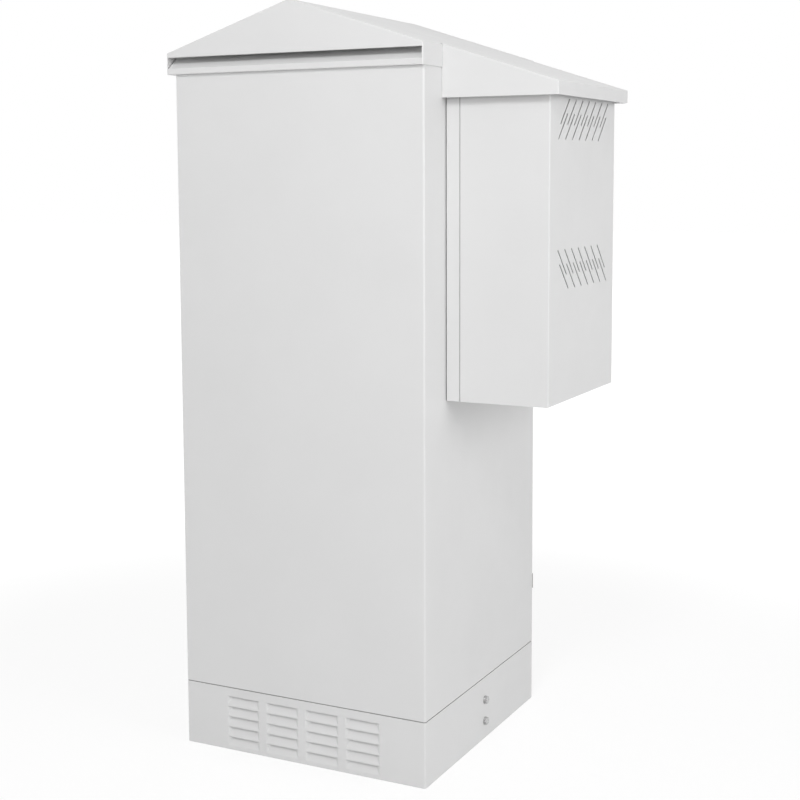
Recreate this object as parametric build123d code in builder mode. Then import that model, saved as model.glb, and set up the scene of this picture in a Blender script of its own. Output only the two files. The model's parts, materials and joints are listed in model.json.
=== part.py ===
from build123d import *
from math import acos, cos, hypot, pi, radians, sin, sqrt, tan
import os

# Roadside utility cabinet in millimetres, with the origin at the centre of the plinth's base.
# X runs towards the side unit, Y from the plain near wall to the door, Z up.

# Overall sizes
width = 640
depth = 648
plinth_height = 152
seal_thickness = 2
body_height = 1446
body_sheet = 2
corner_bend = 5
bolt_overrun = 5

# Plinth
plinth_sheet = 2.5
plinth_flange = 40
anchor_hole_radius = 7
anchor_inset = 22
body_bolt_inset = 84
body_bolt_radius = 6
body_bolt_hole = 6.5
body_bolt_flats = 18
body_bolt_head = 7.5
body_nut_height = 10
louvre_columns = 4
louvre_rows = 5
louvre_length = 86
louvre_height = 22
louvre_depth = 7
louvre_end = 9
louvre_lip = 3
louvre_skin = 1.5
louvre_pitch_x = 107
louvre_pitch_z = 25
louvre_top = 131.5

# Cable clamp rail across the plinth, and its bolts
clamp_rail_y = 10
clamp_rail_z = 70
clamp_rail_width = 40
clamp_rail_height = 25
clamp_rail_sheet = 2
clamp_tab_height = 92
clamp_tab_sheet = 3
clamp_bolt_spacing = 53
clamp_bolt_radius = 5
clamp_bolt_hole = 5.5
clamp_bolt_flats = 16
clamp_bolt_head = 6.4
clamp_washer_radius = 10
clamp_washer_thickness = 2

# Base plate with its cable entry, and top plate
base_sheet = 2.5
tray_flange = 25
cable_entry_x = 320
cable_entry_y = 100
cable_entry_centre = -110
trim_lap = 4
trim_skin = 1.5
top_sheet = 2

# Door opening, frame and gasket
return_width = 22
frame_sheet = 2
rim_depth = 26
opening_margin = 22
seal_flange = 24
gasket_width = 12
gasket_clearance = 0.3
gasket_round = 2

# Door
door_gap = 3.5
door_sheet = 2
door_depth = 20
door_return = 15
door_bend = 2.5
lock_hole_margin = 2
stiffener_x = 150
stiffener_crown = 24
stiffener_foot = 13
stiffener_end_gap = 2
pocket_width = 340
pocket_height = 250
pocket_front = 160
pocket_depth = 35
pocket_sheet = 1.5
pocket_bottom = 700

# Hinges
hinge_count = 3
hinge_inset = 150
hinge_pin_radius = 4
hinge_running = 0.05
knuckle_radius = 8
knuckle_length = 38
knuckle_gap = 0.5
knuckle_stand_off = 1
leaf_thickness = 4
leaf_reach = 22

# Handle, lock and rods
lock_x = -232
lock_z = 960
lever_length = 140
lever_lift_clearance = 0.3
base_width = 36
base_thickness = 8
base_above = 24
base_below = 192
base_chamfer = 2
spindle_radius = 7
spindle_running = 0.05
spindle_head_radius = 13
spindle_head = 4
journal_radius = 5
journal_overrun = 4
square_size = 9
tongue_width = 8
lever_hub_radius = 8
tongue_radius = 7
lever_width = 22
lever_tip_width = 17
lever_thickness = 14
lever_shoulder = 16
lever_ramp = 8
lever_toe = 30
lever_fork_depth = 20
lever_slack = 0.3
lever_pin_radius = 2.5
cylinder_drop = 168
cylinder_radius = 7
cam_length = 20
cam_width = 7
cam_thickness = 3
key_slot = (1.5, 8.4)
key_slot_depth = 4
gear_module = 1.5
pinion_teeth = 17
pinion_thickness = 7
pressure_angle = radians(20)
tooth_thinning = 0.12
rack_teeth = 10
rack_margin = 2
rod_width = 14
rod_thickness = 6
rod_engagement = 18
rod_travel_centre = 10
rod_slack = 0.4
bracket_clearance = 1
bracket_side_clearance = 2.4
bracket_half_height = 50
bracket_sheet = 2
bracket_foot = 12
guide_wall = 5
guide_length = 20
guide_inset = 70
guide_from_lock = 140
keeper_thickness = 2.5
keeper_clearance = 0.5
keeper_width = 30
keeper_height = 20
keeper_corner = 3

# Roof
roof_sheet = 1.5
roof_bend = 2.5
roof_edge = 2.5
eave_height = 49.2
ridge_height = 155.5
roof_left_overhang = 17
roof_right_overhang = 1.5
roof_near_overhang = 8.8
roof_far_setback = 14.7
roof_return = 30
roof_land = 28
gable_bottom_height = 39
gable_lip = 8
vent_band_height = 14
vent_tray_depth = 38
vent_back_height = 46
roof_bolt_radius = 4
roof_bolt_flats = 13
roof_bolt_head = 5.3
roof_bolt_inset = 8
roof_bolt_setback = 104

# Side unit
unit_width = 430
unit_bottom = 863.5
unit_top = 1558
unit_projection = 244.4
unit_gasket = 2
unit_gasket_inset = 4
unit_gasket_width = 26
unit_frame_depth = 33.4
unit_frame_sheet = 2
unit_lip_sheet = 1.5
unit_lip_lap = 11
unit_seam = 1.6
cover_sheet = 1.5
cover_bend = 3
slot_run = 57
slot_width = 4
slot_chamfer = 1.2
slot_pitch = 43.3
slots_per_row = 7
slot_row_drop = 32
slot_row_shift = 12
upper_slots_z = 1487
lower_slots_z = 1159
unit_bolt_radius = 3
unit_bolt_flats = 10
unit_bolt_head = 4
unit_bolt_inset_y = 18
unit_bolt_inset_z = 26
cover_screw_radius = 2.5
cover_screw_flats = 8
cover_screw_head = 3
cover_screw_y = 150

# Air circuits in the side unit
duct_width = 306
duct_bottom = 1085
duct_top = 1455
duct_sheet = 1.5
fan_front_clearance = 30
inner_fan_z = 1375
ambient_fan_z = 1165
fan_size = 150
fan_depth = 51
fan_bore = 68
fan_ring = 3
fan_plate = 4
fan_corner = 8
fan_hub = 28
fan_motor_depth = 12
rotor_inset = 8
rotor_gap = 1
fan_blades = 5
fan_blade_gap = 2
blade_thickness = 2
blade_chord = 38
blade_pitch = radians(48)
blade_camber = 4
fan_shaft = 4
fan_running = 0.05
fan_strut = 6
return_air_z = 1140
return_air_width = 260
return_air_height = 90
outlet_bottom = 1290
outlet_top = 1440
core_gap = 0.5
core_plate = 2
core_channels = 14

# Lean-to cap over the side unit
cap_width = 470
cap_projection = 269.7
cap_bottom_drop = 65.5
cap_lap = 6
cap_clearance = 0.2
cap_screw_radius = 2.5
cap_screw_flats = 8
cap_screw_head = 3.5
cap_screw_spacing = 120
cap_screw_count = 4

# Rack and earth bar
rail_door_clearance = 75
rail_leg = 28
rail_flange = 28
rail_sheet = 2
rail_outer_x = 250
rail_bottom = 200
rail_top = 1560
rail_hole = 9.5
rail_hole_x = 232.5
rail_hole_pitch = 44.45
rail_hole_count = 29
support_low_z = 235
support_high_z = 1500
support_wall_flange = 20
support_lip = 30
support_clearance = 26
shelf_z = 720
shelf_side_gap = 1
shelf_sheet = 2
shelf_flange = 44
shelf_edge = 20
shelf_ear = 241
earth_bar_length = 300
earth_bar_height = 20
earth_bar_thickness = 4
earth_bar_stand = 20
earth_bar_foot = 20
earth_bar_z = 300
earth_bar_holes = 8
earth_bar_hole_radius = 3.3
earth_bar_pitch = 34

# Places worked out from the sizes above
body_bottom = plinth_height + seal_thickness
body_top = body_bottom + body_height
side_x = width / 2
near_y = -depth / 2
far_y = depth / 2
inner_x = side_x - body_sheet
inner_far_y = far_y - body_sheet
body_bolt_y = far_y - body_bolt_inset
floor_z = body_bottom + base_sheet
ceiling_z = body_top - top_sheet

rim_x = side_x - return_width - frame_sheet
rim_bottom = floor_z + opening_margin
rim_top = ceiling_z - opening_margin
rim_height = rim_top - rim_bottom
opening_mid_z = (rim_bottom + rim_top) / 2
rim_back_y = inner_far_y - rim_depth
door_half_width = rim_x - door_gap
door_height = rim_height - 2 * door_gap
door_inner_y = far_y - door_sheet
door_back_y = far_y - door_depth
seal_face_y = rim_back_y
hinge_x = (door_half_width + rim_x + frame_sheet) / 2
hinge_y = far_y + knuckle_radius + knuckle_stand_off
hinge_first_z = opening_mid_z - door_height / 2 + hinge_inset
hinge_step = (door_height - 2 * hinge_inset) / (hinge_count - 1)
hinge_heights = [hinge_first_z + hinge_step * i for i in range(hinge_count)]

pitch_radius = gear_module * pinion_teeth / 2
rack_root = pitch_radius + 1.25 * gear_module
flange_back_y = rim_back_y - frame_sheet
rail_face_y = door_back_y - rail_door_clearance
support_half_length = flange_back_y - support_clearance
rod_far_y = flange_back_y - keeper_thickness - keeper_clearance
rod_near_y = rod_far_y - rod_thickness
rod_mid_y = (rod_far_y + rod_near_y) / 2
upper_rod_x = lock_x - rack_root - rod_width / 2
lower_rod_x = lock_x + rack_root + rod_width / 2
bracket_half_width = rack_root + rod_width + bracket_side_clearance + bracket_sheet
base_face_y = far_y + base_thickness
spindle_head_y = base_face_y + lever_lift_clearance + spindle_head
lever_pivot_y = spindle_head_y + lever_hub_radius + lever_lift_clearance
cylinder_z = lock_z - cylinder_drop

roof_left_x = -side_x - roof_left_overhang
roof_right_x = side_x + roof_right_overhang
ridge_x = (roof_left_x + roof_right_x) / 2
roof_half = (roof_right_x - roof_left_x) / 2
roof_near_y = near_y - roof_near_overhang
roof_far_y = far_y - roof_far_setback
roof_bolt_y = far_y - roof_bolt_setback
eave_z = body_top + eave_height
ridge_z = body_top + ridge_height
roof_fall = (ridge_height - eave_height) / roof_half
vent_back_y = roof_near_y + vent_tray_depth

unit_mid_z = (unit_bottom + unit_top) / 2
unit_height = unit_top - unit_bottom
unit_back_x = side_x + unit_gasket
unit_frame_x = side_x + unit_frame_depth
unit_cover_x = unit_frame_x + unit_seam
unit_outer_x = side_x + unit_projection
duct_back_x = unit_back_x + unit_frame_sheet
duct_front_x = unit_outer_x - cover_sheet - fan_front_clearance - fan_depth
duct_depth = duct_front_x - duct_back_x
duct_mid_z = (duct_bottom + duct_top) / 2
clamp_bolt_heights = [clamp_rail_z - clamp_bolt_spacing / 2, clamp_rail_z + clamp_bolt_spacing / 2]


def level(z):
    """Horizontal plane: a sketch on it is in X and Y, and extrudes upwards."""
    return Plane.XY.offset(z)


def upright(y):
    """Plane parallel to the door: a sketch on it is in X and Z, and extrudes towards the near wall."""
    return Plane.XZ.offset(-y)


def flank(x):
    """Plane parallel to the side walls: a sketch on it is in Y and Z, and extrudes towards +X."""
    return Plane.YZ.offset(x)


def write(piece, node):
    """Label a finished piece and write it to its own file."""
    piece.part.label = node
    export_step(piece.part, f"parts/{node}.step")


def louvre_form(skin):
    """One louvre pressed inwards, with its slit at the top edge: a skin of 0 gives the hollow."""
    end_slope = louvre_end / louvre_depth
    drop_slope = (louvre_height - louvre_lip) / louvre_depth
    half_length = louvre_length / 2 + skin * hypot(1, end_slope)
    height = louvre_height + skin * hypot(1, drop_slope)
    deep = louvre_depth + skin
    half_crown = half_length - end_slope * deep
    with BuildPart() as form:
        with BuildSketch(flank(-half_length)):
            Polygon((0, 0), (deep, 0), (deep, drop_slope * deep - height), (0, -height), align=None)
        extrude(amount=2 * half_length)
        with BuildSketch(level(-height)):
            Polygon(
                (-half_length, 0),
                (-half_crown, deep),
                (half_crown, deep),
                (half_length, 0),
                align=None,
            )
        extrude(amount=height, mode=Mode.INTERSECT)
    return form.part


def make_plinth():
    xs = [louvre_pitch_x * (i - (louvre_columns - 1) / 2) for i in range(louvre_columns)]
    zs = [louvre_top - louvre_pitch_z * i for i in range(louvre_rows)]
    places = [Location((x, near_y, z)) for x in xs for z in zs]
    places += [Location((x, far_y, z), (0, 0, 180)) for x in xs for z in zs]
    inside = (width - 2 * plinth_sheet, depth - 2 * plinth_sheet)
    with BuildPart() as plinth:
        with BuildSketch():
            RectangleRounded(width, depth, corner_bend)
            RectangleRounded(*inside, corner_bend - plinth_sheet, mode=Mode.SUBTRACT)
        extrude(amount=plinth_height)
        for z in (0, plinth_height - plinth_sheet):
            with BuildSketch(level(z)):
                RectangleRounded(width, depth, corner_bend)
                Rectangle(width - 2 * plinth_flange, depth - 2 * plinth_flange, mode=Mode.SUBTRACT)
            extrude(amount=plinth_sheet)
        with Locations(*places):
            add(louvre_form(louvre_skin))
        with Locations(*places):
            add(louvre_form(0), mode=Mode.SUBTRACT)
        with BuildSketch():
            with GridLocations(width - 2 * anchor_inset, depth - 2 * anchor_inset, 2, 2):
                Circle(anchor_hole_radius)
        extrude(amount=plinth_sheet, mode=Mode.SUBTRACT)
        with BuildSketch(level(plinth_height - plinth_sheet)):
            with GridLocations(width - 2 * anchor_inset, 2 * body_bolt_y, 2, 2):
                Circle(body_bolt_hole)
        extrude(amount=plinth_sheet, mode=Mode.SUBTRACT)
        with BuildSketch(flank(-side_x)):
            with Locations(*[(clamp_rail_y, z) for z in clamp_bolt_heights]):
                Circle(clamp_bolt_hole)
        extrude(amount=width, mode=Mode.SUBTRACT)
    write(plinth, "plinth")


def make_plinth_seal():
    edge = seal_thickness
    with BuildPart() as seal:
        with BuildSketch(level(plinth_height)):
            RectangleRounded(width - 2 * edge, depth - 2 * edge, corner_bend - edge)
            Rectangle(width - 2 * plinth_flange, depth - 2 * plinth_flange, mode=Mode.SUBTRACT)
            with GridLocations(width - 2 * anchor_inset, 2 * body_bolt_y, 2, 2):
                Circle(body_bolt_hole, mode=Mode.SUBTRACT)
        extrude(amount=seal_thickness)
    write(seal, "plinth_seal")


def make_clamp_rail():
    reach = side_x - plinth_sheet
    with BuildPart() as rail:
        with BuildSketch(flank(-reach)):
            with Locations((clamp_rail_y, clamp_rail_z)):
                Rectangle(clamp_rail_width, clamp_rail_height)
            with Locations((clamp_rail_y, clamp_rail_z + clamp_rail_sheet)):
                Rectangle(
                    clamp_rail_width - 2 * clamp_rail_sheet,
                    clamp_rail_height,
                    mode=Mode.SUBTRACT,
                )
        extrude(amount=2 * reach)
        for x in (-reach, reach - clamp_tab_sheet):
            with BuildSketch(flank(x)):
                with Locations((clamp_rail_y, clamp_rail_z)):
                    RectangleRounded(clamp_rail_width, clamp_tab_height, corner_bend)
                with Locations(*[(clamp_rail_y, z) for z in clamp_bolt_heights]):
                    Circle(clamp_bolt_radius, mode=Mode.SUBTRACT)
            extrude(amount=clamp_tab_sheet)
    write(rail, "plinth_clamp_rail")


def seat(x, y, z, x_dir, direction):
    """Plane under a bolt's head, with its normal running along the shank."""
    return Plane(origin=(x, y, z), x_dir=x_dir, z_dir=direction)


def make_bolts(node, seats, radius, length, across_flats, head_height):
    """Identical hexagon bolts on their seats, written as one group."""
    with BuildPart() as bolts:
        with BuildSketch(*seats):
            RegularPolygon(across_flats / 2, 6, major_radius=False)
        extrude(amount=-head_height)
        with BuildSketch(*seats):
            Circle(radius)
        extrude(amount=length)
    write(bolts, node)


def make_clamp_bolts():
    face = side_x + clamp_washer_thickness
    length = clamp_washer_thickness + plinth_sheet + clamp_tab_sheet + bolt_overrun
    seats = [
        seat(sign * face, clamp_rail_y, z, (0, 1, 0), (-sign, 0, 0))
        for sign in (-1, 1)
        for z in clamp_bolt_heights
    ]
    make_bolts("plinth_clamp_bolts", seats, clamp_bolt_radius, length, clamp_bolt_flats, clamp_bolt_head)
    with BuildPart() as washers:
        for x in (-face, side_x):
            with BuildSketch(flank(x)):
                with Locations(*[(clamp_rail_y, z) for z in clamp_bolt_heights]):
                    Circle(clamp_washer_radius)
                    Circle(clamp_bolt_hole, mode=Mode.SUBTRACT)
            extrude(amount=clamp_washer_thickness)
    write(washers, "plinth_clamp_washers")


def make_body_bolts():
    grip = base_sheet + seal_thickness + plinth_sheet
    under = plinth_height - plinth_sheet
    x_bolt = side_x - anchor_inset
    spots = [(x, y) for x in (-x_bolt, x_bolt) for y in (-body_bolt_y, body_bolt_y)]
    seats = [seat(x, y, floor_z, (1, 0, 0), (0, 0, -1)) for x, y in spots]
    length = grip + body_nut_height + bolt_overrun
    make_bolts("body_bolts", seats, body_bolt_radius, length, body_bolt_flats, body_bolt_head)
    with BuildPart() as nuts:
        with BuildSketch(level(under - body_nut_height)):
            with Locations(*spots):
                RegularPolygon(body_bolt_flats / 2, 6, major_radius=False)
                Circle(body_bolt_radius, mode=Mode.SUBTRACT)
        extrude(amount=body_nut_height)
    write(nuts, "body_bolt_nuts")


def unit_bolt_spots():
    """Where the side unit is bolted to the wall, as Y and Z pairs."""
    y = unit_width / 2 - unit_bolt_inset_y
    zs = (unit_bottom + unit_bolt_inset_z, unit_mid_z, unit_top - unit_bolt_inset_z)
    return [(sign * y, z) for sign in (-1, 1) for z in zs]


def air_openings():
    """Openings through which cabinet air passes the side wall, for a sketch in Y and Z."""
    with Locations((0, inner_fan_z)):
        Circle(fan_bore)
    with Locations((0, return_air_z)):
        Rectangle(return_air_width, return_air_height)


def make_body_shell():
    inside = (width - 2 * body_sheet, depth - 2 * body_sheet)
    with BuildPart() as shell:
        with BuildSketch(level(body_bottom)):
            RectangleRounded(width, depth, corner_bend)
            RectangleRounded(*inside, corner_bend - body_sheet, mode=Mode.SUBTRACT)
            with Locations((0, far_y)):
                Rectangle(width - 2 * return_width, 4 * body_sheet, mode=Mode.SUBTRACT)
        extrude(amount=body_height)
        with BuildSketch(flank(inner_x)):
            air_openings()
            with Locations(*unit_bolt_spots()):
                Circle(unit_bolt_radius)
        extrude(amount=body_sheet, mode=Mode.SUBTRACT)
    write(shell, "body_shell")


def tray_profile():
    """Outline of the base and top plates inside the shell."""
    RectangleRounded(width - 2 * body_sheet, depth - 2 * body_sheet, corner_bend - body_sheet)


def tray_rim(sheet):
    """Outline of the flange that runs round a base or top plate, and stops short of the door frame."""
    tray_profile()
    Rectangle(width - 2 * body_sheet - 2 * sheet, depth - 2 * body_sheet - 2 * sheet, mode=Mode.SUBTRACT)
    with Locations((0, far_y)):
        Rectangle(width, 4 * (body_sheet + frame_sheet), mode=Mode.SUBTRACT)


def make_base_plate():
    with BuildPart() as plate:
        with BuildSketch(level(body_bottom)):
            tray_profile()
            with Locations((0, cable_entry_centre)):
                Rectangle(cable_entry_x, cable_entry_y, mode=Mode.SUBTRACT)
            with GridLocations(width - 2 * anchor_inset, 2 * body_bolt_y, 2, 2):
                Circle(body_bolt_hole, mode=Mode.SUBTRACT)
        extrude(amount=base_sheet)
        with BuildSketch(level(body_bottom)):
            tray_rim(base_sheet)
        extrude(amount=tray_flange)
    write(plate, "base_plate")


def make_cable_entry_trim():
    inner = (cable_entry_x - 2 * trim_skin, cable_entry_y - 2 * trim_skin)
    outer = (cable_entry_x + 2 * trim_lap, cable_entry_y + 2 * trim_lap)
    with BuildPart() as trim:
        with BuildSketch(level(body_bottom - trim_skin)):
            with Locations((0, cable_entry_centre)):
                Rectangle(*outer)
                Rectangle(*inner, mode=Mode.SUBTRACT)
        extrude(amount=base_sheet + 2 * trim_skin)
        with BuildSketch(level(body_bottom)):
            with Locations((0, cable_entry_centre)):
                Rectangle(*outer)
                Rectangle(cable_entry_x, cable_entry_y, mode=Mode.SUBTRACT)
        extrude(amount=base_sheet, mode=Mode.SUBTRACT)
    write(trim, "cable_entry_trim")


def roof_bolt_spots():
    x = side_x - roof_land + roof_bolt_inset
    return [(sign * x, y) for sign in (-1, 1) for y in (-roof_bolt_y, roof_bolt_y)]


def make_top_plate():
    with BuildPart() as plate:
        with BuildSketch(level(ceiling_z)):
            tray_profile()
            with Locations(*roof_bolt_spots()):
                Circle(roof_bolt_radius, mode=Mode.SUBTRACT)
        extrude(amount=top_sheet)
        with BuildSketch(level(body_top - tray_flange)):
            tray_rim(top_sheet)
        extrude(amount=tray_flange)
    write(plate, "top_plate")


def frame_ring(outer_x, outer_rise, inner_x_half, inner_rise):
    """Rectangular ring round the door opening, for a sketch in X and Z."""
    with Locations((0, opening_mid_z)):
        Rectangle(2 * outer_x, 2 * outer_rise)
        Rectangle(2 * inner_x_half, 2 * inner_rise, mode=Mode.SUBTRACT)


def make_door_frame():
    half_rim = rim_height / 2
    half_full = (ceiling_z - floor_z) / 2
    flange = (rim_x - seal_flange, half_rim - seal_flange)
    with BuildPart() as frame:
        with BuildSketch(upright(inner_far_y)):
            frame_ring(inner_x - corner_bend + body_sheet, half_full, rim_x, half_rim)
        extrude(amount=frame_sheet)
        with BuildSketch(upright(inner_far_y)):
            frame_ring(rim_x + frame_sheet, half_rim + frame_sheet, rim_x, half_rim)
        extrude(amount=rim_depth + frame_sheet)
        with BuildSketch(upright(rim_back_y)):
            frame_ring(rim_x + frame_sheet, half_rim + frame_sheet, *flange)
        extrude(amount=frame_sheet)
    write(frame, "door_frame")


def make_door_gasket():
    middle_x = door_half_width - door_return / 2
    middle_rise = (door_height - door_return) / 2
    half = gasket_width / 2
    with BuildPart() as gasket:
        with BuildSketch(upright(seal_face_y)):
            frame_ring(middle_x + half, middle_rise + half, middle_x - half, middle_rise - half)
        extrude(amount=-(door_back_y - seal_face_y - gasket_clearance))
        crown = gasket.faces().sort_by(Axis.Y)[-1]
        fillet(crown.edges(), gasket_round)
    write(gasket, "door_gasket")


def make_rod_keepers():
    inner_rise = rim_height / 2 - seal_flange
    spots = [
        (upper_rod_x, opening_mid_z + inner_rise + keeper_height / 2),
        (lower_rod_x, opening_mid_z - inner_rise - keeper_height / 2),
    ]
    with BuildPart() as keepers:
        with BuildSketch(upright(flange_back_y)):
            with Locations(*spots):
                RectangleRounded(keeper_width, keeper_height, keeper_corner)
        extrude(amount=keeper_thickness)
    write(keepers, "rod_keepers")


def make_door_panel():
    with BuildPart() as panel:
        with BuildSketch(upright(far_y)):
            with Locations((0, opening_mid_z)):
                Rectangle(2 * door_half_width, door_height)
        extrude(amount=door_depth)
        with BuildSketch(upright(door_inner_y)):
            with Locations((0, opening_mid_z)):
                Rectangle(2 * (door_half_width - door_sheet), door_height - 2 * door_sheet)
        extrude(amount=door_depth, mode=Mode.SUBTRACT)
        inside, outside = panel.faces().filter_by(Axis.Y).sort_by(Axis.Y)[-2:]
        fillet(outside.edges(), door_bend)
        fillet(inside.edges(), door_bend - door_sheet)
        with BuildSketch(upright(door_back_y + door_sheet)):
            with Locations((0, opening_mid_z)):
                Rectangle(2 * door_half_width, door_height)
                Rectangle(
                    2 * (door_half_width - door_return),
                    door_height - 2 * door_return,
                    mode=Mode.SUBTRACT,
                )
        extrude(amount=door_sheet)
        with BuildSketch(upright(far_y)):
            with Locations((lock_x, lock_z), (lock_x, cylinder_z)):
                Circle(spindle_radius + lock_hole_margin)
        extrude(amount=door_sheet, mode=Mode.SUBTRACT)
    write(panel, "door_panel")


def make_door_stiffeners():
    crown_y = door_back_y + door_sheet / 2
    foot_y = door_inner_y - door_sheet / 2
    half_crown = (stiffener_crown - door_sheet) / 2
    rise = door_height / 2 - door_return - stiffener_end_gap
    with BuildPart() as stiffeners:
        for x in (-stiffener_x, stiffener_x):
            with BuildSketch(level(opening_mid_z - rise)):
                with BuildLine():
                    FilletPolyline(
                        (x - half_crown - stiffener_foot, foot_y),
                        (x - half_crown, foot_y),
                        (x - half_crown, crown_y),
                        (x + half_crown, crown_y),
                        (x + half_crown, foot_y),
                        (x + half_crown + stiffener_foot, foot_y),
                        radius=door_sheet,
                    )
                trace(line_width=door_sheet)
            extrude(amount=2 * rise)
    write(stiffeners, "door_stiffeners")


def make_document_pocket():
    back_y = door_back_y - pocket_sheet / 2
    front_y = back_y - pocket_depth
    with BuildPart() as pocket:
        with BuildSketch(flank(-pocket_width / 2)):
            with BuildLine():
                FilletPolyline(
                    (back_y, pocket_bottom + pocket_height),
                    (back_y, pocket_bottom),
                    (front_y, pocket_bottom),
                    (front_y, pocket_bottom + pocket_front),
                    radius=2 * pocket_sheet,
                )
            trace(line_width=pocket_sheet)
        extrude(amount=pocket_width)
        for x in (-pocket_width / 2, pocket_width / 2 - pocket_sheet):
            with BuildSketch(flank(x)):
                Polygon(
                    (back_y, pocket_bottom),
                    (back_y, pocket_bottom + pocket_height),
                    (front_y, pocket_bottom + pocket_front),
                    (front_y, pocket_bottom),
                    align=None,
                )
            extrude(amount=pocket_sheet)
    write(pocket, "document_pocket")


def make_hinges():
    plate_edge = knuckle_radius / 4
    for i, z in enumerate(hinge_heights, start=1):
        with BuildPart() as body_leaf:
            with BuildSketch(level(z - knuckle_gap - knuckle_length)):
                with Locations((hinge_x, hinge_y)):
                    Circle(knuckle_radius)
                with Locations((hinge_x + plate_edge, far_y)):
                    Rectangle(leaf_reach, leaf_thickness, align=(Align.MIN, Align.MIN))
                with Locations((hinge_x, hinge_y)):
                    Circle(hinge_pin_radius, mode=Mode.SUBTRACT)
            extrude(amount=knuckle_length)
        write(body_leaf, f"hinge_body_leaf_{i}")
        with BuildPart() as door_leaf:
            with BuildSketch(level(z)):
                with Locations((hinge_x, hinge_y)):
                    Circle(knuckle_radius)
                with Locations((hinge_x - plate_edge, far_y)):
                    Rectangle(1.5 * leaf_reach, leaf_thickness, align=(Align.MAX, Align.MIN))
                with Locations((hinge_x, hinge_y)):
                    Circle(hinge_pin_radius + hinge_running, mode=Mode.SUBTRACT)
            extrude(amount=knuckle_length)
        write(door_leaf, f"hinge_door_leaf_{i}")
    with BuildPart() as pins:
        for z in hinge_heights:
            with BuildSketch(level(z - knuckle_gap - knuckle_length)):
                with Locations((hinge_x, hinge_y)):
                    Circle(hinge_pin_radius)
            extrude(amount=2 * knuckle_length + knuckle_gap)
    write(pins, "hinge_pins")


def make_handle_base():
    length = base_above + base_below
    middle = lock_z + (base_above - base_below) / 2
    with BuildPart() as base:
        with BuildSketch(upright(far_y)):
            with Locations((lock_x, middle)):
                SlotOverall(length, base_width, rotation=90)
        extrude(amount=-base_thickness)
        chamfer(base.faces().sort_by(Axis.Y)[-1].edges(), base_chamfer)
        with BuildSketch(upright(far_y)):
            with Locations((lock_x, lock_z)):
                Circle(spindle_radius + spindle_running)
            with Locations((lock_x, cylinder_z)):
                Circle(cylinder_radius + spindle_running)
        extrude(amount=-base_thickness, mode=Mode.SUBTRACT)
    write(base, "handle_base")


def make_lock_cylinder():
    face_y = base_face_y + lever_lift_clearance
    cam_y = door_inner_y - cam_thickness
    with BuildPart() as plug:
        with BuildSketch(upright(cam_y)):
            with Locations((lock_x, cylinder_z)):
                Circle(cylinder_radius)
        extrude(amount=cam_y - face_y)
        with BuildSketch(upright(cam_y)):
            with Locations((lock_x, cylinder_z)):
                SlotOverall(cam_length, cam_width, rotation=90)
        extrude(amount=cam_thickness)
        with BuildSketch(upright(face_y)):
            with Locations((lock_x, cylinder_z)):
                Rectangle(*key_slot)
        extrude(amount=key_slot_depth, mode=Mode.SUBTRACT)
    write(plug, "lock_cylinder")


def make_handle_spindle():
    journal_back = rod_near_y - bracket_clearance - bracket_sheet - journal_overrun
    pinion_back = rod_mid_y - pinion_thickness / 2
    with BuildPart() as spindle:
        with BuildSketch(upright(journal_back)):
            with Locations((lock_x, lock_z)):
                Circle(journal_radius - spindle_running)
        extrude(amount=journal_back - pinion_back)
        with BuildSketch(upright(pinion_back)):
            with Locations((lock_x, lock_z)):
                Rectangle(square_size, square_size)
        extrude(amount=-pinion_thickness)
        with BuildSketch(upright(pinion_back + pinion_thickness)):
            with Locations((lock_x, lock_z)):
                Circle(spindle_radius)
        extrude(amount=pinion_back + pinion_thickness - spindle_head_y)
        with BuildSketch(upright(spindle_head_y)):
            with Locations((lock_x, lock_z)):
                Circle(spindle_head_radius)
        extrude(amount=spindle_head)
        with BuildSketch(flank(lock_x - tongue_width / 2)):
            with Locations((lever_pivot_y, lock_z)):
                Circle(tongue_radius)
            with Locations((spindle_head_y, lock_z)):
                Rectangle(
                    lever_pivot_y - spindle_head_y,
                    2 * tongue_radius,
                    align=(Align.MIN, Align.CENTER),
                )
            with Locations((lever_pivot_y, lock_z)):
                Circle(lever_pin_radius + hinge_running, mode=Mode.SUBTRACT)
        extrude(amount=tongue_width)
    write(spindle, "handle_spindle")


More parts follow.
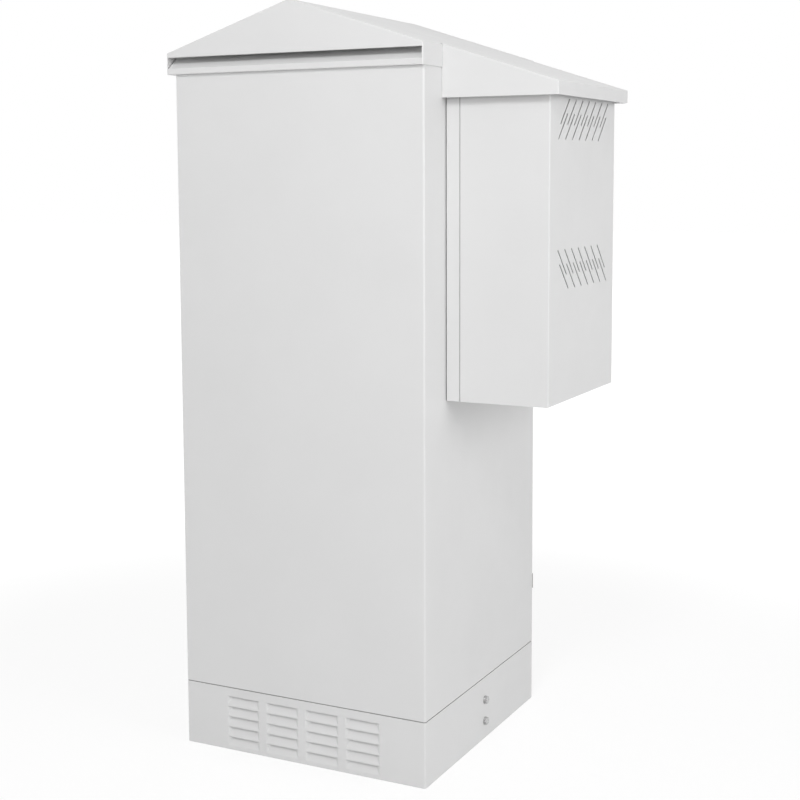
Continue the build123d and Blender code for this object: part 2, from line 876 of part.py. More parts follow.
def make_handle_lever():
    back = base_face_y + 2 * lever_lift_clearance
    front = lever_pivot_y + lever_hub_radius
    shoulder = lock_z - lever_shoulder
    tip = lock_z - lever_length
    with BuildPart() as lever:
        with BuildSketch(flank(lock_x - lever_width / 2)):
            with Locations((lever_pivot_y, lock_z)):
                Circle(lever_hub_radius)
            with BuildLine():
                Polyline(
                    (lever_pivot_y - lever_hub_radius, lock_z),
                    (lever_pivot_y - lever_hub_radius, shoulder),
                    (back, shoulder - lever_ramp),
                    (back, tip),
                    (back + lever_thickness / 2, tip),
                    (back + lever_thickness, tip + lever_toe),
                    (front, shoulder),
                    (front, lock_z),
                    close=True,
                )
            make_face()
        extrude(amount=lever_width)
        with BuildSketch(upright(front)):
            Polygon(
                (lock_x - lever_tip_width / 2, tip),
                (lock_x - lever_width / 2, shoulder),
                (lock_x - lever_width / 2, lock_z + lever_hub_radius),
                (lock_x + lever_width / 2, lock_z + lever_hub_radius),
                (lock_x + lever_width / 2, shoulder),
                (lock_x + lever_tip_width / 2, tip),
                align=None,
            )
        extrude(amount=front - back, mode=Mode.INTERSECT)
        with BuildSketch(flank(lock_x - tongue_width / 2 - lever_slack)):
            with Locations((lever_pivot_y, lock_z)):
                Rectangle(4 * lever_hub_radius, lever_fork_depth)
        extrude(amount=tongue_width + 2 * lever_slack, mode=Mode.SUBTRACT)
        with BuildSketch(flank(lock_x - lever_width / 2)):
            with Locations((lever_pivot_y, lock_z)):
                Circle(lever_pin_radius)
        extrude(amount=lever_width, mode=Mode.SUBTRACT)
    write(lever, "handle_lever")
    with BuildPart() as pin:
        with BuildSketch(flank(lock_x - lever_width / 2)):
            with Locations((lever_pivot_y, lock_z)):
                Circle(lever_pin_radius)
        extrude(amount=lever_width)
    write(pin, "lever_pin")


def tooth_half_angle(radius):
    """Half the angle that one involute pinion tooth takes at a radius."""
    base_radius = pitch_radius * cos(pressure_angle)
    at_pitch = pi / (2 * pinion_teeth) - tooth_thinning / 2 / pitch_radius
    roll = acos(min(1, base_radius / radius))
    return at_pitch + tan(pressure_angle) - pressure_angle - tan(roll) + roll


def make_lock_pinion():
    base_radius = pitch_radius * cos(pressure_angle)
    tip_radius = pitch_radius + gear_module
    root_radius = pitch_radius - 1.25 * gear_module
    flank_radii = [base_radius, pitch_radius, tip_radius]
    outline = []
    for tooth in range(pinion_teeth):
        middle = 2 * pi * tooth / pinion_teeth
        rising = [(r, middle - tooth_half_angle(r)) for r in flank_radii]
        falling = [(r, middle + tooth_half_angle(r)) for r in reversed(flank_radii)]
        root = tooth_half_angle(base_radius)
        corners = [(root_radius, middle - root), *rising, *falling, (root_radius, middle + root)]
        outline += [(lock_x + r * cos(a), lock_z + r * sin(a)) for r, a in corners]
    with BuildPart() as pinion:
        with BuildSketch(upright(rod_mid_y + pinion_thickness / 2)):
            Polygon(*outline, align=None)
            with Locations((lock_x, lock_z)):
                Rectangle(square_size, square_size, mode=Mode.SUBTRACT)
        extrude(amount=pinion_thickness)
    write(pinion, "lock_pinion")


def rack_outline(side, first_tooth):
    """Teeth on the edge of a rod that lies on one side of the pinion, for a sketch in X and Z."""
    pitch = pi * gear_module
    half = pitch / 4 - tooth_thinning / 2
    slope = tan(pressure_angle)
    tip = pitch_radius - gear_module
    for tooth in range(rack_teeth):
        z = first_tooth + tooth * pitch
        Polygon(
            (lock_x + side * rack_root, z - half - 1.25 * gear_module * slope),
            (lock_x + side * tip, z - half + gear_module * slope),
            (lock_x + side * tip, z + half - gear_module * slope),
            (lock_x + side * rack_root, z + half + 1.25 * gear_module * slope),
            align=None,
        )


def make_lock_rods():
    pitch = pi * gear_module
    edge = opening_mid_z + rim_height / 2 - seal_flange
    top = edge + rod_engagement
    bottom = 2 * opening_mid_z - top
    reach = rack_teeth * pitch / 2
    upper_end = lock_z + rod_travel_centre - reach - rack_margin
    lower_end = lock_z - rod_travel_centre + reach + rack_margin
    upper_first = lock_z - pitch * round((reach - rod_travel_centre) / pitch - 0.5)
    lower_first = lock_z - pitch * (round((reach + rod_travel_centre) / pitch - 1) + 0.5)
    nose = rod_width / 2
    with BuildPart() as upper_rod:
        with BuildSketch(upright(rod_far_y)):
            Polygon(
                (upper_rod_x - nose, upper_end),
                (upper_rod_x - nose, top - nose),
                (upper_rod_x - nose / 2, top),
                (upper_rod_x + nose / 2, top),
                (upper_rod_x + nose, top - nose),
                (upper_rod_x + nose, upper_end),
                align=None,
            )
            rack_outline(-1, upper_first)
        extrude(amount=rod_thickness)
    write(upper_rod, "upper_rod")
    with BuildPart() as lower_rod:
        with BuildSketch(upright(rod_far_y)):
            Polygon(
                (lower_rod_x - nose, lower_end),
                (lower_rod_x - nose, bottom + nose),
                (lower_rod_x - nose / 2, bottom),
                (lower_rod_x + nose / 2, bottom),
                (lower_rod_x + nose, bottom + nose),
                (lower_rod_x + nose, lower_end),
                align=None,
            )
            rack_outline(1, lower_first)
        extrude(amount=rod_thickness)
    write(lower_rod, "lower_rod")


def make_lock_bracket():
    web_y = rod_near_y - bracket_clearance - bracket_sheet / 2
    foot_y = door_inner_y - bracket_sheet / 2
    half = bracket_half_width - bracket_sheet / 2
    with BuildPart() as bracket:
        with BuildSketch(level(lock_z - bracket_half_height)):
            with BuildLine():
                FilletPolyline(
                    (lock_x - half - bracket_foot, foot_y),
                    (lock_x - half, foot_y),
                    (lock_x - half, web_y),
                    (lock_x + half, web_y),
                    (lock_x + half, foot_y),
                    (lock_x + half + bracket_foot, foot_y),
                    radius=bracket_sheet,
                )
            trace(line_width=bracket_sheet)
        extrude(amount=2 * bracket_half_height)
        with BuildSketch(upright(rod_near_y)):
            with Locations((lock_x, lock_z)):
                Circle(journal_radius)
        extrude(amount=bracket_clearance + bracket_sheet, mode=Mode.SUBTRACT)
    write(bracket, "lock_bracket")


def make_rod_guides():
    crown = rod_near_y - rod_slack - guide_wall
    top = opening_mid_z + door_height / 2 - guide_inset
    bottom = opening_mid_z - door_height / 2 + guide_inset
    spots = [
        (upper_rod_x, top),
        (upper_rod_x, lock_z + guide_from_lock),
        (lower_rod_x, lock_z - guide_from_lock),
        (lower_rod_x, bottom),
    ]
    half = rod_width / 2 + rod_slack
    with BuildPart() as guides:
        for x, z in spots:
            with BuildSketch(level(z - guide_length / 2)):
                Polygon(
                    (x - half - 2 * guide_wall, door_inner_y),
                    (x - half - guide_wall, crown),
                    (x + half + guide_wall, crown),
                    (x + half + 2 * guide_wall, door_inner_y),
                    align=None,
                )
                with Locations((x, rod_mid_y)):
                    Rectangle(2 * half, rod_thickness + 2 * rod_slack, mode=Mode.SUBTRACT)
            extrude(amount=guide_length)
    write(guides, "rod_guides")


def roof_form(inset):
    """Roof as a solid; an inset gives the hollow inside its sheet."""
    left = roof_left_x + inset
    right = roof_right_x - inset
    bottom = body_top + inset
    eave = eave_z - inset * (hypot(1, roof_fall) - roof_fall)
    ridge = ridge_z - inset * hypot(1, roof_fall)
    outline = [(left, bottom), (left, eave), (ridge_x, ridge), (right, eave), (right, bottom)]
    with BuildPart() as form:
        with BuildSketch(upright(roof_near_y + inset)):
            with BuildLine():
                FilletPolyline(*outline, radius=roof_bend - inset)
                Line(outline[-1], outline[0])
            make_face()
        extrude(amount=roof_near_y - roof_far_y + 2 * inset)
    return form.part


def make_roof_cover():
    gable_z = body_top + gable_bottom_height
    slot_width_x = 2 * (roof_half - roof_edge)
    window = roof_far_y - roof_return - roof_near_y
    with BuildPart() as roof:
        add(roof_form(0))
        ends = roof.faces().filter_by(Axis.Y)
        fillet(ends.edges().filter_by(lambda edge: edge.center().Z > body_top + 1), roof_edge)
        add(roof_form(roof_sheet), mode=Mode.SUBTRACT)
        with BuildSketch(level(body_top)):
            with Locations((0, roof_near_y)):
                Rectangle(2 * (side_x - roof_land), window, align=(Align.CENTER, Align.MIN))
            with Locations((ridge_x, roof_near_y)):
                Rectangle(slot_width_x, vent_tray_depth, align=(Align.CENTER, Align.MIN))
        extrude(amount=roof_sheet, mode=Mode.SUBTRACT)
        with BuildSketch(upright(roof_near_y)):
            with Locations((ridge_x, body_top)):
                Rectangle(slot_width_x, gable_bottom_height, align=(Align.CENTER, Align.MIN))
        extrude(amount=-roof_edge, mode=Mode.SUBTRACT)
        with BuildSketch(level(gable_z)):
            with Locations((ridge_x, roof_near_y)):
                Rectangle(slot_width_x, gable_lip, align=(Align.CENTER, Align.MIN))
        extrude(amount=roof_sheet)
        with BuildSketch(level(body_top)):
            with Locations(*roof_bolt_spots()):
                Circle(roof_bolt_radius)
        extrude(amount=roof_sheet, mode=Mode.SUBTRACT)
        with BuildSketch(flank(roof_right_x - roof_sheet)):
            with Locations(*cap_screw_spots()):
                Circle(cap_screw_radius)
        extrude(amount=roof_sheet, mode=Mode.SUBTRACT)
    write(roof, "roof_cover")


def make_roof_vent_tray():
    half = roof_sheet / 2
    reach = roof_half - roof_edge
    with BuildPart() as tray:
        with BuildSketch(flank(ridge_x - reach)):
            with BuildLine():
                FilletPolyline(
                    (roof_near_y + half, body_top + vent_band_height),
                    (roof_near_y + half, body_top + half),
                    (vent_back_y - half, body_top + half),
                    (vent_back_y - half, body_top + vent_back_height),
                    radius=roof_sheet,
                )
            trace(line_width=roof_sheet)
        extrude(amount=2 * reach)
    write(tray, "roof_vent_tray")


def make_roof_bolts():
    seats = [seat(x, y, ceiling_z, (1, 0, 0), (0, 0, 1)) for x, y in roof_bolt_spots()]
    length = top_sheet + roof_sheet + bolt_overrun
    make_bolts("roof_bolts", seats, roof_bolt_radius, length, roof_bolt_flats, roof_bolt_head)


def cap_screw_spots():
    """Screws that hold the lean-to cap to the roof's side fascia, as Y and Z pairs."""
    z = body_top + eave_height / 2
    first = -cap_screw_spacing * (cap_screw_count - 1) / 2
    return [(first + cap_screw_spacing * i, z) for i in range(cap_screw_count)]


def slope_z(x):
    """Height of the roof's outer surface on the side unit's side of the ridge."""
    return ridge_z - roof_fall * (x - ridge_x)


def cap_form(inset):
    """Lean-to cap as a solid; an inset gives the hollow inside its sheet."""
    wall = side_x - inset
    back = roof_right_x + inset
    outer = side_x + cap_projection - inset
    foot = body_top - cap_bottom_drop - inset
    rise = (cap_clearance + roof_sheet - inset) * hypot(1, roof_fall)
    with BuildPart() as form:
        with BuildSketch(upright(cap_width / 2 - inset)):
            Polygon(
                (wall, foot),
                (wall, body_top + inset),
                (back, body_top + inset),
                (back, slope_z(back) + rise),
                (outer, slope_z(outer) + rise),
                (outer, foot),
                align=None,
            )
        extrude(amount=cap_width - 2 * inset)
    return form.part


def make_side_cap():
    back = roof_right_x + roof_sheet
    low = cap_clearance * hypot(1, roof_fall)
    high = (cap_clearance + roof_sheet) * hypot(1, roof_fall)
    lap_x = roof_right_x - cap_lap
    with BuildPart() as cap:
        add(cap_form(0))
        fascia = cap.faces().sort_by(Axis.X)[-1]
        slope = cap.faces().filter_by(lambda face: face.normal_at().Z > 0.5)
        folds = slope.edges().filter_by(lambda edge: edge.center().X > roof_right_x + 1)
        fillet(folds + fascia.edges().filter_by(Axis.Z), roof_edge)
        with BuildSketch(upright(cap_width / 2 - roof_edge)):
            Polygon(
                (lap_x, slope_z(lap_x) + low),
                (lap_x, slope_z(lap_x) + high),
                (back, slope_z(back) + high),
                (back, slope_z(back) + low),
                align=None,
            )
        extrude(amount=cap_width - 2 * roof_edge)
        add(cap_form(roof_sheet), mode=Mode.SUBTRACT)
        with BuildSketch(flank(roof_right_x)):
            with Locations(*cap_screw_spots()):
                Circle(cap_screw_radius)
        extrude(amount=roof_sheet, mode=Mode.SUBTRACT)
    write(cap, "side_cap")
    seats = [seat(back, y, z, (0, 1, 0), (-1, 0, 0)) for y, z in cap_screw_spots()]
    length = 2 * roof_sheet + bolt_overrun
    make_bolts("side_cap_screws", seats, cap_screw_radius, length, cap_screw_flats, cap_screw_head)


def unit_outline(inset):
    """Side unit's outline, shrunk by an inset, for a sketch in Y and Z."""
    with Locations((0, unit_mid_z)):
        Rectangle(unit_width - 2 * inset, unit_height - 2 * inset)


def make_unit_gasket():
    with BuildPart() as gasket:
        with BuildSketch(flank(side_x)):
            unit_outline(unit_gasket_inset)
            with Locations((0, unit_mid_z)):
                Rectangle(
                    unit_width - 2 * (unit_gasket_inset + unit_gasket_width),
                    unit_height - 2 * (unit_gasket_inset + unit_gasket_width),
                    mode=Mode.SUBTRACT,
                )
            with Locations(*unit_bolt_spots()):
                Circle(unit_bolt_radius, mode=Mode.SUBTRACT)
        extrude(amount=unit_gasket)
    write(gasket, "unit_gasket")


def make_unit_frame():
    lip_inset = unit_frame_sheet + unit_lip_sheet
    with BuildPart() as frame:
        with BuildSketch(flank(unit_back_x)):
            unit_outline(0)
        extrude(amount=unit_frame_x - unit_back_x)
        with BuildSketch(flank(duct_back_x)):
            unit_outline(unit_frame_sheet)
        extrude(amount=unit_frame_x - duct_back_x, mode=Mode.SUBTRACT)
        with BuildSketch(flank(unit_frame_x - unit_lip_lap)):
            unit_outline(unit_frame_sheet)
            with Locations((0, unit_mid_z)):
                Rectangle(unit_width - 2 * lip_inset, unit_height - 2 * lip_inset, mode=Mode.SUBTRACT)
        extrude(amount=2 * unit_lip_lap)
        with BuildSketch(flank(unit_back_x)):
            air_openings()
            with Locations(*unit_bolt_spots()):
                Circle(unit_bolt_radius)
        extrude(amount=unit_frame_sheet, mode=Mode.SUBTRACT)
        with BuildSketch(level(unit_bottom)):
            with Locations(*cover_screw_spots()):
                Circle(cover_screw_radius)
        extrude(amount=unit_height, mode=Mode.SUBTRACT)
    write(frame, "unit_frame")


def cover_screw_spots():
    x = (unit_cover_x + unit_frame_x + unit_lip_lap) / 2
    return [(x, -cover_screw_y), (x, 0), (x, cover_screw_y)]


def make_unit_bolts():
    grip = body_sheet + unit_gasket + unit_frame_sheet
    seats = [seat(inner_x, y, z, (0, 1, 0), (1, 0, 0)) for y, z in unit_bolt_spots()]
    make_bolts("unit_bolts", seats, unit_bolt_radius, grip + bolt_overrun, unit_bolt_flats, unit_bolt_head)


def make_cover_screws():
    length = cover_sheet + unit_lip_sheet + bolt_overrun
    seats = [seat(x, y, unit_bottom, (1, 0, 0), (0, 0, 1)) for x, y in cover_screw_spots()]
    seats += [seat(x, y, unit_top, (1, 0, 0), (0, 0, -1)) for x, y in cover_screw_spots()]
    make_bolts("unit_cover_screws", seats, cover_screw_radius, length, cover_screw_flats, cover_screw_head)


def slot_rows():
    """Rows of slanted slots in the cover, as slant, height and sideways shift."""
    half_drop = slot_row_drop / 2
    half_shift = slot_row_shift / 2
    return [
        (45, upper_slots_z + half_drop, half_shift),
        (45, upper_slots_z - half_drop, -half_shift),
        (-45, lower_slots_z + half_drop, -half_shift),
        (-45, lower_slots_z - half_drop, half_shift),
    ]


def make_unit_cover():
    length = slot_run * sqrt(2)
    with BuildPart() as cover:
        with BuildSketch(flank(unit_cover_x)):
            unit_outline(0)
        extrude(amount=unit_outer_x - unit_cover_x)
        with BuildSketch(flank(unit_cover_x)):
            unit_outline(cover_sheet)
        extrude(amount=unit_outer_x - cover_sheet - unit_cover_x, mode=Mode.SUBTRACT)
        inside, outside = cover.faces().filter_by(Axis.X).sort_by(Axis.X)[-2:]
        fillet(outside.edges(), cover_bend)
        fillet(inside.edges(), cover_bend - cover_sheet)
        with BuildSketch(flank(unit_outer_x - cover_sheet)) as slots:
            for slant, z, shift in slot_rows():
                with Locations((shift, z)):
                    with GridLocations(slot_pitch, 1, slots_per_row, 1):
                        Rectangle(length, slot_width, rotation=slant)
            chamfer(slots.vertices(), slot_chamfer)
        extrude(amount=cover_sheet, mode=Mode.SUBTRACT)
        with BuildSketch(level(unit_bottom)):
            with Locations(*cover_screw_spots()):
                Circle(cover_screw_radius)
        extrude(amount=unit_height, mode=Mode.SUBTRACT)
    write(cover, "unit_cover")


def make_unit_duct():
    inside_width = duct_width - 2 * duct_sheet
    inside_height = duct_top - duct_bottom - 2 * duct_sheet
    with BuildPart() as duct:
        with BuildSketch(flank(duct_back_x)):
            with Locations((0, duct_mid_z)):
                Rectangle(duct_width, duct_top - duct_bottom)
        extrude(amount=duct_depth)
        with BuildSketch(flank(duct_back_x)):
            with Locations((0, duct_mid_z)):
                Rectangle(inside_width, inside_height)
        extrude(amount=duct_depth - duct_sheet, mode=Mode.SUBTRACT)
        with BuildSketch(flank(duct_front_x - duct_sheet)):
            with Locations((0, ambient_fan_z)):
                Circle(fan_bore)
            with Locations((0, (outlet_bottom + outlet_top) / 2)):
                Rectangle(inside_width - 2 * fan_strut, outlet_top - outlet_bottom)
        extrude(amount=duct_sheet, mode=Mode.SUBTRACT)
    write(duct, "unit_duct")


def make_exchanger_core():
    back = duct_back_x + fan_depth + core_gap
    front = duct_front_x - duct_sheet
    core_width = duct_width - 2 * duct_sheet
    bottom = duct_bottom + duct_sheet
    height = duct_top - duct_sheet - bottom
    pitch = (core_width - core_plate) / core_channels
    channel_size = (front - back - core_plate, pitch - core_plate)
    with BuildPart() as core:
        with BuildSketch(level(bottom)):
            with Locations(((back + front) / 2, 0)):
                Rectangle(front - back, core_width)
        extrude(amount=height)
        with BuildSketch(level(bottom + core_plate)):
            for channel in range(core_channels):
                y = pitch * (channel - (core_channels - 1) / 2)
                side = 1 if channel % 2 else -1
                with Locations(((back + front + side * core_plate) / 2, y)):
                    Rectangle(*channel_size)
        extrude(amount=height - 2 * core_plate, mode=Mode.SUBTRACT)
    write(core, "exchanger_core")


def make_fan(name, x, z):
    """Axial fan: a housing with its motor base and shaft, and a bladed rotor that runs on the shaft."""
    motor_x = x + fan_depth - fan_motor_depth
    rotor_x = x + rotor_inset
    rotor_depth = motor_x - rotor_x - rotor_gap
    with BuildPart() as housing:
        with BuildSketch(flank(x)):
            with Locations((0, z)):
                RectangleRounded(fan_size, fan_size, fan_corner)
                Circle(fan_bore, mode=Mode.SUBTRACT)
        extrude(amount=fan_plate)
        with BuildSketch(flank(x)):
            with Locations((0, z)):
                Circle(fan_bore + fan_ring)
                Circle(fan_bore, mode=Mode.SUBTRACT)
        extrude(amount=fan_depth)
        with BuildSketch(flank(motor_x)):
            with Locations((0, z)):
                Circle(fan_hub)
        extrude(amount=fan_motor_depth)
        with BuildSketch(flank(x + fan_depth - fan_strut)):
            with Locations((0, z)):
                with PolarLocations((fan_bore + fan_hub) / 2, 4, start_angle=45):
                    Rectangle(fan_bore - fan_hub + fan_ring, fan_strut)
        extrude(amount=fan_strut)
        with BuildSketch(flank(rotor_x)):
            with Locations((0, z)):
                Circle(fan_shaft)
        extrude(amount=motor_x - rotor_x)
    write(housing, f"{name}_housing")
    blade_x = rotor_x + rotor_depth / 2
    hub = fan_hub - rotor_gap
    blade_root = hub - blade_thickness
    with BuildPart() as rotor:
        with BuildSketch(flank(rotor_x)):
            with Locations((0, z)):
                Circle(hub)
        extrude(amount=rotor_depth)
        for blade in range(fan_blades):
            angle = 2 * pi * blade / fan_blades
            across = Plane(
                origin=(blade_x, blade_root * cos(angle), z + blade_root * sin(angle)),
                x_dir=(cos(blade_pitch), -sin(blade_pitch) * sin(angle), sin(blade_pitch) * cos(angle)),
                z_dir=(0, cos(angle), sin(angle)),
            )
            with BuildSketch(across):
                with BuildLine():
                    SagittaArc((-blade_chord / 2, 0), (blade_chord / 2, 0), blade_camber)
                trace(line_width=blade_thickness)
            extrude(amount=fan_bore - fan_blade_gap - blade_root)
        with BuildSketch(flank(rotor_x)):
            with Locations((0, z)):
                Circle(fan_shaft + fan_running)
        extrude(amount=rotor_depth, mode=Mode.SUBTRACT)
    write(rotor, f"{name}_rotor")


def make_rail_supports():
    half = rail_sheet / 2
    wall = inner_x - half
    lip = rail_outer_x + half
    for height, z in (("lower", support_low_z), ("upper", support_high_z)):
        for hand, sign in (("left", -1), ("right", 1)):
            with BuildPart() as support:
                with BuildSketch(upright(support_half_length)):
                    with BuildLine():
                        FilletPolyline(
                            (sign * wall, z - support_wall_flange),
                            (sign * wall, z),
                            (sign * lip, z),
                            (sign * lip, z + support_lip),
                            radius=rail_sheet,
                        )
                    trace(line_width=rail_sheet)
                extrude(amount=2 * support_half_length)
            write(support, f"rail_support_{height}_{hand}")


def make_rack_rails():
    half = rail_sheet / 2
    web_x = rail_outer_x - half
    toe_x = rail_outer_x - rail_flange
    holes_mid_z = (rail_bottom + rail_top) / 2
    for end, direction in (("near", -1), ("far", 1)):
        for hand, sign in (("left", -1), ("right", 1)):
            face_y = direction * (rail_face_y - half)
            with BuildPart() as rail:
                with BuildSketch(level(rail_bottom)):
                    with BuildLine():
                        FilletPolyline(
                            (sign * web_x, face_y - direction * rail_leg),
                            (sign * web_x, face_y),
                            (sign * toe_x, face_y),
                            radius=rail_sheet,
                        )
                    trace(line_width=rail_sheet)
                extrude(amount=rail_top - rail_bottom)
                with BuildSketch(upright(face_y + rail_sheet)):
                    with Locations((sign * rail_hole_x, holes_mid_z)):
                        with GridLocations(1, rail_hole_pitch, 1, rail_hole_count):
                            Rectangle(rail_hole, rail_hole)
                extrude(amount=2 * rail_sheet, mode=Mode.SUBTRACT)
            write(rail, f"rack_rail_{end}_{hand}")


def make_equipment_shelf():
    half_width = rail_outer_x - rail_flange - shelf_side_gap
    with BuildPart() as shelf:
        with BuildSketch(upright(rail_face_y)):
            with Locations((0, shelf_z)):
                Rectangle(2 * half_width, shelf_sheet, align=(Align.CENTER, Align.MIN))
            for sign in (-1, 1):
                with Locations((sign * (half_width - shelf_sheet / 2), shelf_z)):
                    Rectangle(shelf_sheet, shelf_edge, align=(Align.CENTER, Align.MIN))
        extrude(amount=2 * rail_face_y)
        for y in (rail_face_y + shelf_sheet, -rail_face_y):
            with BuildSketch(upright(y)):
                with Locations((0, shelf_z + shelf_edge - shelf_flange / 2)):
                    Rectangle(2 * shelf_ear, shelf_flange)
            extrude(amount=shelf_sheet)
    write(shelf, "equipment_shelf")


def make_earth_bar():
    wall = near_y + body_sheet + earth_bar_thickness / 2
    front = wall + earth_bar_stand
    half = earth_bar_length / 2
    with BuildPart() as bar:
        with BuildSketch(level(earth_bar_z)):
            with BuildLine():
                FilletPolyline(
                    (-half - earth_bar_foot, wall),
                    (-half, wall),
                    (-half, front),
                    (half, front),
                    (half, wall),
                    (half + earth_bar_foot, wall),
                    radius=earth_bar_thickness,
                )
            trace(line_width=earth_bar_thickness)
        extrude(amount=earth_bar_height)
        with BuildSketch(upright(front + earth_bar_thickness)):
            with Locations((0, earth_bar_z + earth_bar_height / 2)):
                with GridLocations(earth_bar_pitch, 1, earth_bar_holes, 1):
                    Circle(earth_bar_hole_radius)
        extrude(amount=2 * earth_bar_thickness, mode=Mode.SUBTRACT)
    write(bar, "earth_bar")


os.makedirs("parts", exist_ok=True)
make_plinth()
make_plinth_seal()
make_clamp_rail()
make_clamp_bolts()
make_body_bolts()
make_body_shell()
make_base_plate()
make_cable_entry_trim()
make_top_plate()
make_door_frame()
make_door_gasket()
make_rod_keepers()
make_door_panel()
make_door_stiffeners()
make_document_pocket()
make_hinges()
make_handle_base()
make_lock_cylinder()
make_handle_spindle()
make_handle_lever()
make_lock_pinion()
make_lock_rods()
make_lock_bracket()
make_rod_guides()
make_roof_cover()
make_roof_vent_tray()
make_roof_bolts()
make_side_cap()
make_unit_gasket()
make_unit_frame()
make_unit_bolts()
make_cover_screws()
make_unit_cover()
make_unit_duct()
make_exchanger_core()
make_fan("inner_fan", duct_back_x, inner_fan_z)
make_fan("ambient_fan", duct_front_x, ambient_fan_z)
make_rail_supports()
make_rack_rails()
make_equipment_shelf()
make_earth_bar()
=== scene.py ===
import json
import math

import bmesh
import bpy
from mathutils import Matrix, Vector


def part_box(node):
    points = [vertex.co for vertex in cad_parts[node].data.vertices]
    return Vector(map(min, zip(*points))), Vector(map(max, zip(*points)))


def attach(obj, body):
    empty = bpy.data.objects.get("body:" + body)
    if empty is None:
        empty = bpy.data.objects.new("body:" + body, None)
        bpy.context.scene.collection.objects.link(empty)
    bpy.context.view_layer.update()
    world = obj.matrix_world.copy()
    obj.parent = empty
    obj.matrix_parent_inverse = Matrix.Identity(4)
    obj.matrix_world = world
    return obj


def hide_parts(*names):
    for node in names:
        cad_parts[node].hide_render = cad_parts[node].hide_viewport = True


# Camera in metres, degrees and pixels, fitted to the photograph's edges
IMAGE = 800
FOCAL_PIXELS = 1456.5
CENTRE_X = 395.7
CENTRE_Y = 330.0
CAMERA_YAW = 26.8
CAMERA_PITCH = -6.08
CAMERA_ROLL = -0.24
CAMERA_PLACE = Vector((1.6764, -3.1481, 1.3674))
SENSOR = 36.0

# Light: level of the world at the horizon and overhead, then name, place, aim, size and watts
# of each lamp
WORLD_HORIZON = 0.66
WORLD_ZENITH = 0.43
LAMPS = (
    ("key", (1.0, -3.2, 3.7), (0.0, 0.0, 1.1), 1.2, 58.0),
    ("front", (1.0, -3.8, 1.9), (0.0, 0.0, 1.1), 1.8, 16.0),
    ("right", (4.0, -0.8, 2.0), (0.3, 0.0, 1.0), 2.4, 46.0),
    ("left", (-4.2, -0.4, 2.0), (0.0, 0.0, 1.0), 2.4, 20.0),
    ("back", (-0.2, 4.0, 1.0), (0.0, 0.0, 0.9), 1.6, 36.0),
)

# Floor: half its side in metres, its colour, the share of its shading that the camera sees near
# the cabinet, the level it fades to, and the distances in metres between which it fades
FLOOR_REACH = 30.0
FLOOR_COLOUR = 0.76
FLOOR_SHADOW = 0.28
FLOOR_WHITE = 1.10
FADE_START = 1.2
FADE_END = 2.8

# Textures: factors at which a ramp starts and ends, features per metre, bump strengths, a metal's
# bump depth in metres and its metallic share, and how far roughness varies in coats and metals
RAMP_START = 0.3
RAMP_END = 0.7
CLOUD_SCALE = 5.0
SHEEN_SCALE = 24.0
WAVE_SCALE = 90.0
GRAIN_STRENGTH = 0.35
WAVE_STRENGTH = 0.25
METAL_STRENGTH = 0.2
METAL_DEPTH = 0.00005
METAL_SHARE = 0.9
COAT_SPREAD = 0.04
METAL_SPREAD = 0.08

# Coats and plastics: colour, roughness, the colour's spread, grain in features per metre, its
# depth in metres and the depth in metres of the powder coat's waves
COATS = {
    "powder_coat": ((0.70, 0.70, 0.70), 0.40, 0.012, 650.0, 0.00006, 0.00012),
    "black_coating": ((0.022, 0.022, 0.023), 0.45, 0.15, 900.0, 0.00008),
    "black_rubber": ((0.022, 0.022, 0.022), 0.78, 0.2, 400.0, 0.0001),
    "grey_rubber": ((0.34, 0.34, 0.34), 0.7, 0.08, 400.0, 0.0001),
    "black_plastic": ((0.03, 0.03, 0.03), 0.55, 0.15, 1200.0, 0.00008),
    "grey_plastic": ((0.36, 0.37, 0.37), 0.5, 0.04, 1200.0, 0.00006),
}

# Metals: colour, roughness, the colour's spread, features per metre and how their scale differs
# along each axis
METALS = {
    "galvanised_steel": ((0.62, 0.63, 0.64), 0.44, 0.10, 90.0, (1, 1, 1)),
    "fastener_steel": ((0.52, 0.52, 0.52), 0.30, 0.10, 300.0, (1, 1, 1)),
    "stainless_steel": ((0.42, 0.415, 0.405), 0.36, 0.08, 60.0, (1, 1, 18)),
    "lock_chrome": ((0.55, 0.55, 0.55), 0.24, 0.05, 500.0, (1, 1, 1)),
    "aluminium": ((0.78, 0.79, 0.80), 0.36, 0.05, 80.0, (1, 1, 14)),
    "copper_bar": ((0.66, 0.33, 0.19), 0.38, 0.14, 40.0, (6, 1, 1)),
}
SPANGLED = ("galvanised_steel",)

# Painted shade in the powder coat's narrow gaps: rays and reach in metres, then the range of
# openness and the range of darkened tint that it maps to
PAINTED_SHADE_SAMPLES = 8
PAINTED_SHADE_REACH = 0.004
PAINTED_SHADE_LEVELS = (0.25, 0.6, 0.3, 1.0)

# Meshes: welding distance and tolerance in metres, then angles in degrees: faces within the first
# join as one, the plinth's edges past the second and other edges past the third are rounded
WELD = 0.00001
TOLERANCE = 0.0001
FLAT_ANGLE = 1
FOLD_ANGLE = 12
SHARP_ANGLE = 35

# Softened edges of the CAD nodes: width in metres and segments
EDGE = (0.0004, 2)
EDGES = {
    "handle_lever": (0.0016, 3),
    "handle_base": (0.0010, 3),
    "hinge_pins": (0.0006, 2),
    "door_gasket": (0.0010, 3),
    "plinth_seal": (0.0003, 1),
    "unit_gasket": (0.0003, 1),
}

# Node whose finish is a lighter shade of rubber than its slot's
PAINTS = {"plinth_seal": "grey_rubber"}

